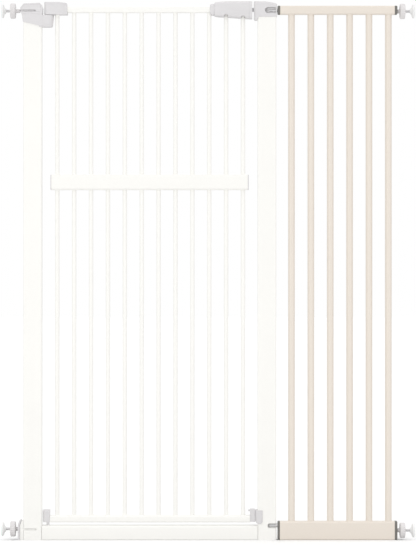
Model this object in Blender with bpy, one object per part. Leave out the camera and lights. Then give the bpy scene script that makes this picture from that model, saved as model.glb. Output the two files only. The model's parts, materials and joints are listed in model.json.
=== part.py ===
"""Tall pressure-mounted safety gate: a steel frame with a swinging barred door, and a six-bar panel
bolted to its right side. Sizes are in millimetres, turned into metres when a mesh is made.
X runs to the right, Y to the back and Z up; the floor is Z = 0 and the hinge is on the left."""

import math

import bmesh
import bpy
from mathutils import Matrix, Vector

MM = 0.001
GAP = 0.3  # between pieces that touch
WALL = 1.0  # steel tube wall
ARC_STEPS = 3  # flats in a rounded corner
ROUND_SIDES = 16
PIVOT_SIDES = 24
SHARP_ANGLE = math.radians(38)

# frame posts and sill
POST_WIDTH, POST_DEPTH, POST_TOP, POST_RADIUS = 52.0, 24.0, 1490.0, 4.0
LEFT_POST_X, RIGHT_POST_X = -488.0, 164.0
SILL_HEIGHT, SILL_TOP_RADIUS = 41.0, 7.0
CAP_HALF_DEPTH = 14.0
CORNER_OUTER_X, CORNER_TOP_Z, CORNER_CHAMFER = -529.3, 56.0, 8.0

# hinge
HINGE_X = -446.0
PIN_RADIUS, PIN_CLEARANCE = 4.0, 0.05
HINGE_CAP_LEFT_X, HINGE_CAP_RIGHT_X, HINGE_CAP_TOP_Z = -523.8, -460.6, 1497.0
ARM_BOTTOM_Z, ARM_TOP_Z, ARM_RIGHT_X, ARM_HALF_DEPTH = 1428.0, 1461.0, -429.0, 10.5

# latch side of the frame
LATCH_CAP_LEFT_X, LATCH_CAP_RIGHT_X, LATCH_CAP_TOP_Z = 128.2, 192.2, 1500.0
KEEPER_LEFT_X, KEEPER_RIGHT_X, KEEPER_BOTTOM_Z, KEEPER_TOP_Z = 132.6, 152.0, 45.0, 83.0

# door
DOOR_BARS, BAR_1_X, BAR_PITCH, BAR_RADIUS, BAR_WALL = 12, -420.0, 47.045, 6.25, 0.8
BAR_HOLE_GAP = 0.3
DOOR_BOTTOM_Z, DOOR_RAIL_SIDE, DOOR_RAIL_RADIUS = 48.5, 20.0, 5.0
TOP_RAIL_Z, TOP_RAIL_HEIGHT, TOP_RAIL_DEPTH = 1468.0, 16.0, 18.0
TOP_RAIL_LEFT_X, TOP_RAIL_RIGHT_X = -427.4, 108.0
MID_RAIL_LEFT_X, MID_RAIL_RIGHT_X, MID_RAIL_LOW_Z, MID_RAIL_HIGH_Z = -436.0, 111.0, 974.0, 1017.0
HOUSING_LEFT_X, HOUSING_RIGHT_X, HOUSING_LOW_Z, HOUSING_HIGH_Z = -455.8, -392.8, 1462.0, 1496.0
HANDLE_LEFT_X, HANDLE_RIGHT_X, HANDLE_HALF_DEPTH = 5.6, 123.1, 17.0
HANDLE_PEG_X, LATCH_Z = 57.0, 1476.0
LATCH_TRAVEL = 13.0
BOLT_LEFT_X, BOLT_RIGHT_X, BOLT_HALF_DEPTH, BOLT_HALF_HEIGHT = 88.0, 136.0, 5.0, 5.0
SLIDER_X, SLIDER_LENGTH, SLIDER_HALF_DEPTH = 101.0, 18.0, 7.5

# extension panel
PANEL_LEFT_X, PANEL_RIGHT_X, PANEL_DEPTH = 200.9, 519.7, 24.0
PANEL_TOP_LOW_Z, PANEL_TOP_HIGH_Z, PANEL_BOTTOM_HIGH_Z = 1463.0, 1487.0, 52.0
PANEL_BARS, PANEL_BAR_1_X, PANEL_BAR_PITCH, PANEL_BAR_RADIUS = 6, 232.6, 54.0, 9.5
PANEL_CAP_LEFT_X, PANEL_CAP_RIGHT_X, LOW_CAP_RIGHT_X = 194.0, 527.0, 205.0
CONNECTOR_RADIUS, CONNECTOR_LEFT_X, CONNECTOR_RIGHT_X = 6.0, 167.0, 207.0
CONNECTOR_TOP_Z, CONNECTOR_LOW_Z = 1474.3, 40.0

# wall spindles
PAD_FACE_X, PAD_RADIUS, PAD_DEPTH = 575.0, 19.5, 12.0
ROD_RADIUS, WHEEL_RADIUS, WHEEL_DEPTH = 4.0, 21.5, 16.5
LEFT_TOP_Z, LEFT_LOW_Z, RIGHT_TOP_Z, RIGHT_LOW_Z = 1473.0, 30.0, 1472.0, 26.0
ROD_SLOT_HALF = 2.75
LEFT_WHEEL_X, RIGHT_WHEEL_X = -535.0, 533.5  # the faces turned towards the frame


def srgb(red, green, blue):
    """Display colour out of 255 as linear light."""
    values = [channel / 255 for channel in (red, green, blue)]
    linear = [v / 12.92 if v <= 0.04045 else ((v + 0.055) / 1.055) ** 2.4 for v in values]
    return (*linear, 1.0)


def make_material(name, colour, roughness, metallic):
    material = bpy.data.materials.new(name)
    material.use_nodes = True
    shader = material.node_tree.nodes["Principled BSDF"]
    shader.inputs["Base Color"].default_value = colour
    shader.inputs["Roughness"].default_value = roughness
    shader.inputs["Metallic"].default_value = metallic
    material.diffuse_color = colour
    return material


def make_materials():
    return {
        "gate_white": make_material("gate_white", srgb(247, 247, 243), 0.35, 0.0),
        "panel_beige": make_material("panel_beige", srgb(238, 230, 217), 0.4, 0.0),
        "light_grey_plastic": make_material("light_grey_plastic", srgb(216, 217, 218), 0.5, 0.0),
        "wheel_grey_plastic": make_material("wheel_grey_plastic", srgb(200, 201, 203), 0.55, 0.0),
        "dark_grey_plastic": make_material("dark_grey_plastic", srgb(115, 114, 109), 0.55, 0.0),
        "zinc_steel": make_material("zinc_steel", srgb(190, 191, 194), 0.3, 1.0),
        "pad_white": make_material("pad_white", srgb(240, 240, 238), 0.7, 0.0),
    }


# ---- outlines: lists of (a, b) points ------------------------------------------------------------


def rectangle(a0, a1, b0, b1):
    return [(a0, b0), (a1, b0), (a1, b1), (a0, b1)]


def rounded(points, radii, steps=ARC_STEPS):
    """The outline with each corner turned into an arc; radii is one number or one per corner."""
    if not isinstance(radii, (list, tuple)):
        radii = [radii] * len(points)
    result = []
    for index, radius in enumerate(radii):
        corner = Vector(points[index])
        if radius == 0:
            result.append(tuple(corner))
            continue
        before = (Vector(points[index - 1]) - corner).normalized()
        after = (Vector(points[(index + 1) % len(points)]) - corner).normalized()
        half = before.angle(after) / 2
        centre = corner + (before + after).normalized() * (radius / math.sin(half))
        start = corner + before * (radius / math.tan(half)) - centre
        end = corner + after * (radius / math.tan(half)) - centre
        sweep = math.atan2(start.x * end.y - start.y * end.x, start.dot(end))
        for step in range(steps + 1):
            angle = sweep * step / steps
            turned_x = start.x * math.cos(angle) - start.y * math.sin(angle)
            turned_y = start.x * math.sin(angle) + start.y * math.cos(angle)
            result.append((centre.x + turned_x, centre.y + turned_y))
    return result


def circle(a, b, radius, sides=ROUND_SIDES):
    angles = [2 * math.pi * (side + 0.5) / sides for side in range(sides)]
    return [(a + radius * math.cos(t), b + radius * math.sin(t)) for t in angles]


# ---- shapes: (points, faces) in millimetres --------------------------------------------------------


def at(axis, a, b, along):
    """A point from its place along an axis and its two other coordinates, in X, Y, Z order."""
    return {"X": (along, a, b), "Y": (a, along, b), "Z": (a, b, along)}[axis]


def prism(axis, outline, low, high):
    count = len(outline)
    points = [at(axis, a, b, low) for a, b in outline] + [at(axis, a, b, high) for a, b in outline]
    faces = [list(range(count)), list(range(count, 2 * count))]
    for i in range(count):
        j = (i + 1) % count
        faces.append([i, j, count + j, count + i])
    return points, faces


def tube(axis, outer, inner, low, high):
    """An open-ended tube; the two outlines have the same number of points."""
    count = len(outer)
    loops = [(outer, low), (outer, high), (inner, high), (inner, low)]
    points = [at(axis, a, b, along) for outline, along in loops for a, b in outline]
    faces = []
    for loop in range(4):
        following = (loop + 1) % 4
        for i in range(count):
            j = (i + 1) % count
            faces.append(
                [loop * count + i, loop * count + j, following * count + j, following * count + i]
            )
    return points, faces


def turned(axis, centre, profile, sides=ROUND_SIDES, ring=False):
    """A turned piece. profile is (place along the axis, radius); a ring's profile closes on itself."""
    points, loops, faces = [], [], []
    for along, radius in profile:
        if radius == 0:
            loops.append([len(points)])
            points.append(at(axis, centre[0], centre[1], along))
        else:
            loops.append(list(range(len(points), len(points) + sides)))
            points += [at(axis, a, b, along) for a, b in circle(*centre, radius, sides)]
    pairs = list(zip(loops, loops[1:]))
    if ring:
        pairs.append((loops[-1], loops[0]))
    for one, other in pairs:
        for i in range(sides):
            j = (i + 1) % sides
            if len(one) == 1:
                faces.append([one[0], other[j], other[i]])
            elif len(other) == 1:
                faces.append([one[i], one[j], other[0]])
            else:
                faces.append([one[i], one[j], other[j], other[i]])
    return points, faces


def rod_shape(axis, a, b, radius, low, high, sides=ROUND_SIDES):
    return prism(axis, circle(a, b, radius, sides), low, high)


def box(x0, x1, y0, y1, z0, z1):
    return prism("Z", rectangle(x0, x1, y0, y1), z0, z1)


def coil(start_x, end_x, z, radius, wire, turns, steps=10, sides=6):
    """A helical wire about a line along X."""
    points, faces = [], []
    total = int(turns * steps)
    for step in range(total + 1):
        angle = 2 * math.pi * step / steps
        x = start_x + wire + (end_x - start_x - 2 * wire) * step / total
        for side in range(sides):
            tilt = 2 * math.pi * side / sides
            reach = radius + wire * math.cos(tilt)
            points.append((x + wire * math.sin(tilt), reach * math.sin(angle), z + reach * math.cos(angle)))
    for step in range(total):
        for side in range(sides):
            following = (side + 1) % sides
            faces.append(
                [
                    step * sides + side,
                    step * sides + following,
                    (step + 1) * sides + following,
                    (step + 1) * sides + side,
                ]
            )
    faces.append(list(range(sides)))
    faces.append(list(range(total * sides, (total + 1) * sides)))
    return points, faces


# ---- objects -----------------------------------------------------------------------------------------


def make_mesh(name, shapes):
    """One mesh in metres out of shapes in millimetres that don't meet."""
    points, faces = [], []
    for shape_points, shape_faces in shapes:
        start = len(points)
        points += shape_points
        faces += [[start + index for index in face] for face in shape_faces]
    mesh = bpy.data.meshes.new(name)
    mesh.from_pydata([Vector(point) * MM for point in points], [], faces)
    work = bmesh.new()
    work.from_mesh(mesh)
    bmesh.ops.recalc_face_normals(work, faces=work.faces)
    work.to_mesh(mesh)
    work.free()
    return mesh


def add(name, material, origin, shape, body=None):
    """A visible piece with its origin at a place in millimetres, carried by a body's empty if one is given."""
    mesh = make_mesh(name, [shape])
    place = Vector(origin) * MM
    mesh.transform(Matrix.Translation(-place))
    mesh.polygons.foreach_set("use_smooth", [True] * len(mesh.polygons))
    mesh.set_sharp_from_angle(angle=SHARP_ANGLE)
    mesh.materials.append(material)
    piece = bpy.data.objects.new(name, mesh)
    bpy.context.scene.collection.objects.link(piece)
    piece.location = place
    if body:
        piece.parent = body
        piece.location = place - body.location
    return piece


def add_body(name, origin):
    """An empty on a joint's axis, which the moving pieces hang from."""
    body = bpy.data.objects.new(name, None)
    bpy.context.scene.collection.objects.link(body)
    body.location = Vector(origin) * MM
    body.empty_display_size = 0.05
    return body


def change(piece, shapes, operation):
    """Adds to or takes from a piece; the shapes are in millimetres from the world's origin."""
    mesh = make_mesh(f"{piece.name}_{operation.lower()}", shapes)
    tool = bpy.data.objects.new(mesh.name, mesh)
    bpy.context.scene.collection.objects.link(tool)
    tool.hide_render = True
    tool.display_type = "WIRE"
    modifier = piece.modifiers.new(tool.name, "BOOLEAN")
    modifier.operation = operation
    modifier.solver = "EXACT"
    modifier.use_self = True
    modifier.object = tool


def cut(piece, shapes):
    change(piece, shapes, "DIFFERENCE")


def join(piece, shapes):
    change(piece, shapes, "UNION")


def bevel(piece, width, segments=2):
    modifier = piece.modifiers.new("edges", "BEVEL")
    modifier.width = width * MM
    modifier.segments = segments
    modifier.limit_method = "ANGLE"
    modifier.angle_limit = math.radians(50)


def pin_hole(low, high):
    """The bore for a hinge pin, its flats clear of the pin at every angle."""
    radius = (PIN_RADIUS + PIN_CLEARANCE) / math.cos(math.pi / PIVOT_SIDES)
    return rod_shape("Z", HINGE_X, 0, radius, low, high, PIVOT_SIDES)


def rod_hole(x0, x1, z):
    return rod_shape("X", 0, z, ROD_RADIUS + 0.6, x0, x1)


def front_slot(x0, x1, z, half_height, round_left=True):
    """A slot through a front wall, rounded at one end and run out past the other."""
    corners = rectangle(x0, x1, z - half_height, z + half_height)
    radius = half_height * 0.98
    radii = [radius, 0, 0, radius] if round_left else [0, radius, radius, 0]
    return prism("Y", rounded(corners, radii, 4), -CAP_HALF_DEPTH - 2, -POST_DEPTH / 2 + 2 * WALL + 1)


# ---- frame ---------------------------------------------------------------------------------------------


def post_tube(centre_x):
    half_width, half_depth = POST_WIDTH / 2, POST_DEPTH / 2
    outer = rectangle(centre_x - half_width, centre_x + half_width, -half_depth, half_depth)
    inner = rectangle(
        centre_x - half_width + WALL, centre_x + half_width - WALL, -half_depth + WALL, half_depth - WALL
    )
    return tube("Z", rounded(outer, POST_RADIUS), rounded(inner, POST_RADIUS - WALL), 0, POST_TOP)


def add_posts(materials):
    left = add("left_post", materials["gate_white"], (LEFT_POST_X, 0, 0), post_tube(LEFT_POST_X))
    outer_x = LEFT_POST_X - POST_WIDTH / 2
    holes = []
    for z in (LEFT_TOP_Z, LEFT_LOW_Z):
        holes.append(rod_hole(outer_x - 5, outer_x + 5, z))
        holes.append(front_slot(outer_x - 6, outer_x + 37, z, ROD_SLOT_HALF, round_left=False))
    cut(left, holes)
    right = add("right_post", materials["gate_white"], (RIGHT_POST_X, 0, 0), post_tube(RIGHT_POST_X))
    edge_x = RIGHT_POST_X + POST_WIDTH / 2
    holes = []
    for z, left_x in ((CONNECTOR_TOP_Z, 158.8), (CONNECTOR_LOW_Z, 164.0)):
        holes.append(rod_shape("X", 0, z, CONNECTOR_RADIUS + GAP, edge_x - 5, edge_x + 5))
        holes.append(front_slot(left_x, edge_x + 6, z, 8.3))
    cut(right, holes)


def add_sill(materials):
    left_x = LEFT_POST_X + POST_WIDTH / 2 + GAP
    right_x = RIGHT_POST_X - POST_WIDTH / 2 - GAP
    half = POST_DEPTH / 2
    radii = [3, 3, SILL_TOP_RADIUS, SILL_TOP_RADIUS]
    inner_radii = [radius - WALL for radius in radii]
    outer = rounded(rectangle(-half, half, 0, SILL_HEIGHT), radii)
    inner = rounded(rectangle(-half + WALL, half - WALL, WALL, SILL_HEIGHT - WALL), inner_radii)
    middle = ((left_x + right_x) / 2, 0, 0)
    sill = add("sill_tube", materials["gate_white"], middle, tube("X", outer, inner, left_x, right_x))
    cut(sill, [pin_hole(SILL_HEIGHT - 5, SILL_HEIGHT + 5)])


def add_corner_fitting(materials):
    inner_x = LEFT_POST_X - POST_WIDTH / 2 - GAP
    outline = [
        (inner_x, 0),
        (inner_x, CORNER_TOP_Z),
        (CORNER_OUTER_X + CORNER_CHAMFER, CORNER_TOP_Z),
        (CORNER_OUTER_X, CORNER_TOP_Z - 1.5 * CORNER_CHAMFER),
        (CORNER_OUTER_X, 0),
    ]
    shape = prism("Y", rounded(outline, [0, 1, 3, 3, 1], 2), -12.6, 12.6)
    fitting = add("corner_fitting", materials["light_grey_plastic"], (inner_x, 0, LEFT_LOW_Z), shape)
    cut(fitting, [rod_hole(CORNER_OUTER_X - 5, inner_x + 5, LEFT_LOW_Z)])


def post_room(centre_x, low, high):
    """The space a cap leaves for a post."""
    half_width, half_depth = POST_WIDTH / 2 + GAP, POST_DEPTH / 2 + GAP
    outline = rectangle(centre_x - half_width, centre_x + half_width, -half_depth, half_depth)
    return prism("Z", rounded(outline, POST_RADIUS), low, high)


def add_hinge_cap(materials):
    right_x = HINGE_CAP_RIGHT_X
    outline = [
        (-516.6, 1440),
        (right_x, 1431),
        (right_x, HINGE_CAP_TOP_Z),
        (-513.0, HINGE_CAP_TOP_Z),
        (HINGE_CAP_LEFT_X, 1478.5),
        (-519.5, ARM_TOP_Z),
        (-516.6, ARM_TOP_Z - 3),
    ]
    shape = prism(
        "Y", rounded(outline, [1.5, 0.5, 8, 5, 3, 2, 2]), -CAP_HALF_DEPTH, CAP_HALF_DEPTH
    )
    cap = add("hinge_post_cap", materials["light_grey_plastic"], (LEFT_POST_X, 0, ARM_TOP_Z), shape)
    bevel(cap, 1.2, 1)
    half = ARM_HALF_DEPTH
    arm = rounded(rectangle(right_x - 0.8, ARM_RIGHT_X, -half, half), [0, 9, 9, 0], 4)
    join(cap, [prism("Z", arm, ARM_BOTTOM_Z, ARM_TOP_Z)])
    cut(
        cap,
        [
            post_room(LEFT_POST_X, ARM_BOTTOM_Z - 20, POST_TOP + GAP),
            pin_hole(ARM_BOTTOM_Z - 5, ARM_TOP_Z + 5),
        ],
    )
    cut(cap, [rod_hole(HINGE_CAP_LEFT_X - 5, -505, LEFT_TOP_Z)])
    cut(cap, [front_slot(HINGE_CAP_LEFT_X - 5, -479, LEFT_TOP_Z, ROD_SLOT_HALF, round_left=False)])


def add_latch_cap(materials):
    outline = [
        (LATCH_CAP_LEFT_X, 1446.8),
        (137.4, 1446.8),
        (140.4, 1455.7),
        (LATCH_CAP_RIGHT_X, 1455.7),
        (LATCH_CAP_RIGHT_X, 1492),
        (LATCH_CAP_LEFT_X, LATCH_CAP_TOP_Z),
    ]
    shape = prism("Y", rounded(outline, [3, 2, 2, 2, 4, 3]), -CAP_HALF_DEPTH, CAP_HALF_DEPTH)
    cap = add("latch_post_cap", materials["light_grey_plastic"], (RIGHT_POST_X, 0, LATCH_Z), shape)
    bevel(cap, 1.2, 1)
    cut(cap, [post_room(RIGHT_POST_X, 1430, POST_TOP + GAP)])
    cut(cap, [front_slot(158.8, LATCH_CAP_RIGHT_X + 6, CONNECTOR_TOP_Z, 8.3)])
    pocket = box(
        LATCH_CAP_LEFT_X - 3, BOLT_RIGHT_X + 0.6, -BOLT_HALF_DEPTH - GAP, BOLT_HALF_DEPTH + GAP,
        LATCH_Z - BOLT_HALF_HEIGHT - GAP, LATCH_Z + BOLT_HALF_HEIGHT + 8.8,
    )
    bolt_way = rod_shape(
        "X", 0, CONNECTOR_TOP_Z, CONNECTOR_RADIUS + GAP, LATCH_CAP_RIGHT_X - 4, LATCH_CAP_RIGHT_X + 4
    )
    cut(cap, [pocket, bolt_way])


def add_keeper(materials):
    corners = rectangle(KEEPER_LEFT_X, KEEPER_RIGHT_X, KEEPER_BOTTOM_Z, KEEPER_TOP_Z)
    shape = prism("Y", rounded(corners, [8, 8, 2, 1.5]), -CAP_HALF_DEPTH - 0.6, CAP_HALF_DEPTH + 0.6)
    origin = (KEEPER_LEFT_X, 0, KEEPER_BOTTOM_Z)
    keeper = add("latch_keeper", materials["light_grey_plastic"], origin, shape)
    notch = box(KEEPER_LEFT_X - 3, 139, -4.3, 4.3, 75, KEEPER_TOP_Z + 5)
    cut(keeper, [post_room(RIGHT_POST_X, KEEPER_BOTTOM_Z - 5, KEEPER_TOP_Z + 5)])
    cut(keeper, [notch])


# ---- extension panel --------------------------------------------------------------------------------------


def rail_outline(low, high, inset=0.0, radius=4.0):
    half = PANEL_DEPTH / 2 - inset
    return rounded(rectangle(-half, half, low + inset, high - inset), max(radius - inset, 0.5))


def add_panel_rails(materials):
    for name, low, high, left_x in (
        ("panel_top_rail", PANEL_TOP_LOW_Z, PANEL_TOP_HIGH_Z, PANEL_LEFT_X),
        ("panel_bottom_rail", 0.0, PANEL_BOTTOM_HIGH_Z, LOW_CAP_RIGHT_X + GAP),
    ):
        shape = tube("X", rail_outline(low, high), rail_outline(low, high, WALL), left_x, PANEL_RIGHT_X)
        origin = ((left_x + PANEL_RIGHT_X) / 2, 0, (low + high) / 2)
        add(name, materials["panel_beige"], origin, shape)


def add_panel_bars(materials):
    low, high = PANEL_BOTTOM_HIGH_Z + GAP, PANEL_TOP_LOW_Z - GAP
    for index in range(PANEL_BARS):
        x = PANEL_BAR_1_X + index * PANEL_BAR_PITCH
        outer, inner = circle(x, 0, PANEL_BAR_RADIUS), circle(x, 0, PANEL_BAR_RADIUS - BAR_WALL)
        shape = tube("Z", outer, inner, low, high)
        add(f"panel_bar_{index + 1}", materials["panel_beige"], (x, 0, low), shape)


def add_panel_cap(name, materials, low, high, left_x, right_x, plug_x, hole):
    """A plastic plate over a rail's end with a plug inside the rail; hole is (height, radius)."""
    plate = prism("X", rail_outline(low, high), left_x, right_x)
    cap = add(name, materials["dark_grey_plastic"], (left_x, 0, hole[0]), plate)
    edge_x = left_x if plug_x < left_x else right_x
    reach = sorted((edge_x + (0.5 if plug_x < left_x else -0.5), plug_x))
    join(cap, [prism("X", rail_outline(low, high, WALL + GAP), *reach)])
    x0, x1 = min(left_x, plug_x) - 5, max(right_x, plug_x) + 5
    cut(cap, [rod_shape("X", 0, hole[0], hole[1], x0, x1)])


def add_panel_caps(materials):
    top, low = (PANEL_TOP_LOW_Z, PANEL_TOP_HIGH_Z), (0.0, PANEL_BOTTOM_HIGH_Z)
    connector, rod = CONNECTOR_RADIUS + GAP, ROD_RADIUS + 0.6
    left, right, rail_end = PANEL_CAP_LEFT_X, PANEL_CAP_RIGHT_X, PANEL_RIGHT_X
    add_panel_cap(
        "panel_cap_top_left", materials, *top, left, PANEL_LEFT_X - GAP, PANEL_LEFT_X + 9,
        (CONNECTOR_TOP_Z, connector),
    )
    add_panel_cap(
        "panel_cap_bottom_left", materials, *low, left, LOW_CAP_RIGHT_X, LOW_CAP_RIGHT_X + 9,
        (CONNECTOR_LOW_Z, connector),
    )
    add_panel_cap(
        "panel_cap_top_right", materials, *top, rail_end + GAP, right, rail_end - 9, (RIGHT_TOP_Z, rod)
    )
    add_panel_cap(
        "panel_cap_bottom_right", materials, *low, rail_end + GAP, right, rail_end - 9, (RIGHT_LOW_Z, rod)
    )


def add_connectors(materials):
    for name, z in (("connector_bolt_top", CONNECTOR_TOP_Z), ("connector_bolt_bottom", CONNECTOR_LOW_Z)):
        left, right, radius = CONNECTOR_LEFT_X, CONNECTOR_RIGHT_X, CONNECTOR_RADIUS
        profile = [
            (left, 0), (left, 0.45 * radius), (left + 2, 0.85 * radius), (left + 4.5, radius),
            (right - 1, radius), (right, radius - 1), (right, 0),
        ]
        add(name, materials["zinc_steel"], (left, 0, z), turned("X", (0, z), profile))


# ---- door ---------------------------------------------------------------------------------------------------


def door_bar_x(index):
    return BAR_1_X + index * BAR_PITCH


def add_door_bars(materials, body):
    low, high = DOOR_BOTTOM_Z + DOOR_RAIL_SIDE + GAP, TOP_RAIL_Z - GAP
    for index in range(DOOR_BARS):
        x = door_bar_x(index)
        shape = tube("Z", circle(x, 0, BAR_RADIUS), circle(x, 0, BAR_RADIUS - BAR_WALL), low, high)
        add(f"door_bar_{index + 1:02d}", materials["gate_white"], (x, 0, low), shape, body)


def add_door_rails(materials, body):
    white = materials["gate_white"]
    half, high = TOP_RAIL_DEPTH / 2, TOP_RAIL_Z + TOP_RAIL_HEIGHT
    outer = rounded(rectangle(-half, half, TOP_RAIL_Z, high), 2.5, 2)
    inner = rounded(rectangle(-half + WALL, half - WALL, TOP_RAIL_Z + WALL, high - WALL), 1.5, 2)
    shape = tube("X", outer, inner, TOP_RAIL_LEFT_X, TOP_RAIL_RIGHT_X)
    top = add("door_top_rail", white, (HINGE_X, 0, TOP_RAIL_Z), shape, body)
    stem_way = box(SLIDER_X - LATCH_TRAVEL - 5, TOP_RAIL_RIGHT_X + 5, -3.3, 3.3, high - 4, high + 5)
    cut(top, [stem_way, rod_shape("Y", HANDLE_PEG_X, LATCH_Z, 2.8, -15, 15)])

    half, low, high = POST_DEPTH / 2, MID_RAIL_LOW_Z, MID_RAIL_HIGH_Z
    outer = rounded(rectangle(-half, half, low, high), [7, 7, 3, 3])
    inner = rounded(rectangle(-half + WALL, half - WALL, low + WALL, high - WALL), [6, 6, 2, 2])
    shape = tube("X", outer, inner, MID_RAIL_LEFT_X, MID_RAIL_RIGHT_X)
    middle = add("door_mid_rail", white, (HINGE_X, 0, low), shape, body)
    radius = BAR_RADIUS + BAR_HOLE_GAP
    cut(
        middle,
        [rod_shape("Z", door_bar_x(i), 0, radius, low - 5, high + 5) for i in range(DOOR_BARS)],
    )

    half, low, high = DOOR_RAIL_SIDE / 2, DOOR_BOTTOM_Z, DOOR_BOTTOM_Z + DOOR_RAIL_SIDE
    outer = rounded(rectangle(-half, half, low, high), DOOR_RAIL_RADIUS)
    inner = rounded(rectangle(-half + WALL, half - WALL, low + WALL, high - WALL), DOOR_RAIL_RADIUS - WALL)
    shape = tube("X", outer, inner, -440 + GAP, 117 - GAP)
    add("door_bottom_rail", white, (HINGE_X, 0, low), shape, body)


def add_mid_rail_plugs(materials, body):
    half, low, high = POST_DEPTH / 2, MID_RAIL_LOW_Z, MID_RAIL_HIGH_Z
    plate = rounded(rectangle(-half, half, low, high), [7, 7, 3, 3])
    inset = WALL + GAP
    plug = rounded(rectangle(-half + inset, half - inset, low + inset, high - inset), [5.5, 5.5, 2, 2])
    for name, face_x, side in (
        ("mid_rail_plug_left", MID_RAIL_LEFT_X - GAP, 1),
        ("mid_rail_plug_right", MID_RAIL_RIGHT_X + GAP, -1),
    ):
        shape = prism("X", plate, *sorted((face_x, face_x - 2.2 * side)))
        piece = add(name, materials["light_grey_plastic"], (face_x, 0, low), shape, body)
        join(piece, [prism("X", plug, *sorted((face_x - 0.5 * side, face_x + 6 * side)))])


def add_housing(materials, body):
    outline = rectangle(HOUSING_LEFT_X, HOUSING_RIGHT_X, -13, 13)
    shape = prism("Z", rounded(outline, [10, 3, 3, 10]), HOUSING_LOW_Z, HOUSING_HIGH_Z)
    housing = add("hinge_housing", materials["light_grey_plastic"], (HINGE_X, 0, HOUSING_LOW_Z), shape, body)
    bevel(housing, 1.5)
    half, high = TOP_RAIL_DEPTH / 2 + GAP, TOP_RAIL_Z + TOP_RAIL_HEIGHT + GAP
    rail_room = box(TOP_RAIL_LEFT_X - GAP, HOUSING_RIGHT_X + 5, -half, half, TOP_RAIL_Z - GAP, high)
    bar_room = rod_shape("Z", BAR_1_X, 0, BAR_RADIUS + GAP, HOUSING_LOW_Z - 5, TOP_RAIL_Z + 1)
    cut(housing, [rail_room])
    cut(housing, [bar_room, pin_hole(HOUSING_LOW_Z - 5, 1485.5)])


def handle_outline():
    corners = [
        (HANDLE_LEFT_X, 1461.0),
        (HANDLE_RIGHT_X, 1450.6),
        (HANDLE_RIGHT_X, 1500.0),
        (HANDLE_LEFT_X, 1492.0),
    ]
    return rounded(corners, [10, 5, 5, 10])


def add_handle(materials, body):
    half, rail_high = TOP_RAIL_DEPTH / 2 + GAP, TOP_RAIL_Z + TOP_RAIL_HEIGHT + GAP
    depth, latch_half = HANDLE_HALF_DEPTH, BOLT_HALF_DEPTH + GAP
    for name, side in (("handle_front", -1), ("handle_back", 1)):
        shape = prism("Y", handle_outline(), -depth, depth)
        origin = (HANDLE_RIGHT_X, 0, LATCH_Z)
        handle = add(name, materials["light_grey_plastic"], origin, shape, body)
        bevel(handle, 4.0, 2)
        far_side = sorted((-side * (depth + 5), side * GAP / 2))
        cut(handle, [box(-20, 150, *far_side, 1430, 1520)])
        rail_end = TOP_RAIL_RIGHT_X + GAP
        cut(handle, [box(HANDLE_LEFT_X - 5, rail_end, -half, half, TOP_RAIL_Z - GAP, rail_high)])
        ways = [
            box(
                rail_end - 0.5, HANDLE_RIGHT_X + 5, -latch_half, latch_half,
                LATCH_Z - BOLT_HALF_HEIGHT - GAP, LATCH_Z + BOLT_HALF_HEIGHT + GAP,
            ),
            box(SLIDER_X - LATCH_TRAVEL - 4, SLIDER_X + 4, -3.3, 3.3, rail_high - 1, 1494.5),
        ]
        ways += [
            rod_shape("Z", door_bar_x(i), 0, BAR_RADIUS + GAP, 1440, TOP_RAIL_Z + 1)
            for i in range(DOOR_BARS - 3, DOOR_BARS)
        ]
        cut(handle, ways)
        reach = SLIDER_LENGTH / 2 + 0.8
        cut(
            handle,
            [box(SLIDER_X - LATCH_TRAVEL - reach, SLIDER_X + reach, -8.3, 8.3, 1493.6, 1510)],
        )
        peg = sorted((side * 0.6, side * (half + 1)))
        join(handle, [rod_shape("Y", HANDLE_PEG_X, LATCH_Z, 2.4, *peg)])


def add_lower_fittings(materials, body):
    left = rounded(rectangle(-459.7, -440.0, -10, 10), [8, 1.5, 1.5, 8])
    shape = prism("Z", left, 49, 84)
    hinge = add("lower_hinge_block", materials["light_grey_plastic"], (HINGE_X, 0, 49), shape, body)
    bevel(hinge, 1.2, 1)
    inset = WALL + GAP
    half = DOOR_RAIL_SIDE / 2 - inset
    low, high = DOOR_BOTTOM_Z + inset, DOOR_BOTTOM_Z + DOOR_RAIL_SIDE - inset
    spigot = rounded(rectangle(-half, half, low, high), DOOR_RAIL_RADIUS - inset)
    join(hinge, [prism("X", spigot, -441, -426)])
    cut(hinge, [pin_hole(44, 78)])

    outline = rounded(rectangle(117.0, 132.3, 50, 86), [3, 3, 4, 2])
    shape = prism("Y", outline, -10, 10)
    latch = add("lower_latch_block", materials["light_grey_plastic"], (117, 0, 50), shape, body)
    bevel(latch, 1.0, 1)
    join(latch, [prism("X", spigot, 103, 118)])
    join(latch, [box(131, 136.8, -4, 4, 75.6, 82.5)])
    join(latch, [box(112, 118, -3, 3, 79, 84)])


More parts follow.
